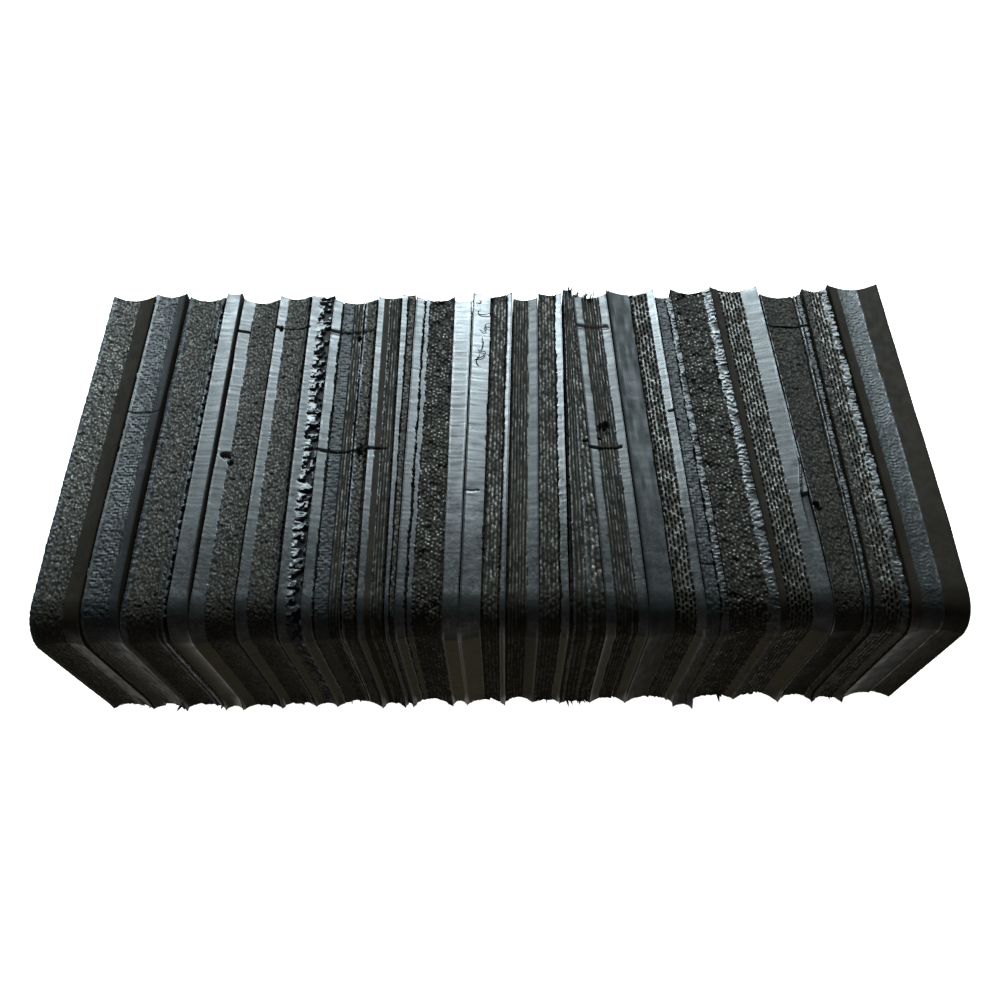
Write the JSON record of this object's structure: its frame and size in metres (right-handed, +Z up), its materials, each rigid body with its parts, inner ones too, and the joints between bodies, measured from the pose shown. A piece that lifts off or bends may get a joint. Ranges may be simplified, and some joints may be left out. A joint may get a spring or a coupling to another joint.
{
  "type": "laminated rubber block",
  "caption": "Block of stacked tyre-casing rubber pads clamped on steel tie rods, with hollow cut edges, one rounded long edge, and nuts recessed in both end faces.",
  "frame": {"origin": "centre of the base, at the middle of the stack's length and depth", "axes": "+X along the stack, -Y towards the rounded long edge, +Z up from the base"},
  "size_m": [0.305, 0.144, 0.078],
  "materials": {
    "casing_rubber": "die-cut casing rubber with cord plies showing, satin to glossy on the smooth layers",
    "zinc_steel": "dull zinc plate"
  },
  "bodies": {
    "root": {"casing_pad_01": "casing_rubber", "casing_pad_02": "casing_rubber", "casing_pad_03": "casing_rubber", "casing_pad_04": "casing_rubber", "casing_pad_05": "casing_rubber", "casing_pad_06": "casing_rubber", "casing_pad_07": "casing_rubber", "casing_pad_08": "casing_rubber", "casing_pad_09": "casing_rubber", "casing_pad_10": "casing_rubber", "casing_pad_11": "casing_rubber", "casing_pad_12": "casing_rubber", "casing_pad_13": "casing_rubber", "casing_pad_14": "casing_rubber", "casing_pad_15": "casing_rubber", "casing_pad_16": "casing_rubber", "casing_pad_17": "casing_rubber", "casing_pad_18": "casing_rubber", "casing_pad_19": "casing_rubber", "casing_pad_20": "casing_rubber", "casing_pad_21": "casing_rubber", "casing_pad_22": "casing_rubber", "casing_pad_23": "casing_rubber", "casing_pad_24": "casing_rubber", "tie_rod_front": "zinc_steel", "tie_rod_rear": "zinc_steel", "rod_washers": "zinc_steel", "jam_nuts": "zinc_steel"}
  },
  "joints": []
}
